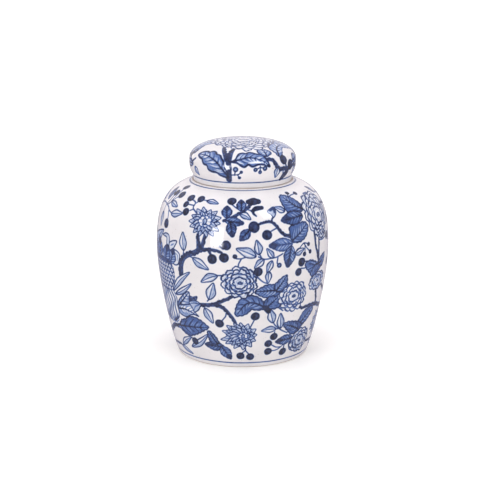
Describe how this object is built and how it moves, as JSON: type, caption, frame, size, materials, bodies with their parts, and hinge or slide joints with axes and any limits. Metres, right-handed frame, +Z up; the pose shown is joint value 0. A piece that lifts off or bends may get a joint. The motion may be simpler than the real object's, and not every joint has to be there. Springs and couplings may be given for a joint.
{
  "type": "ginger jar",
  "caption": "Covered ginger jar: round-bellied glazed porcelain jar with a foot ring, a short upright neck and a domed cap lid, blue painting on white.",
  "frame": {"origin": "centre of the circle the foot ring rests on", "axes": "+Z up along the jar's axis of revolution; the painting's front faces -Y"},
  "size_m": [0.165, 0.165, 0.2063],
  "materials": {
    "painted_glaze": "clear gloss glaze over cobalt-blue painting on white porcelain"
  },
  "bodies": {
    "jar": {"jar_body": "painted_glaze"},
    "lid": {"lid": "painted_glaze"}
  },
  "joints": [
    {"name": "lid_lift", "type": "slide", "parent": "jar", "child": "lid", "axis": [0, 0, 1], "range_m": [0, 0.1]}
  ]
}
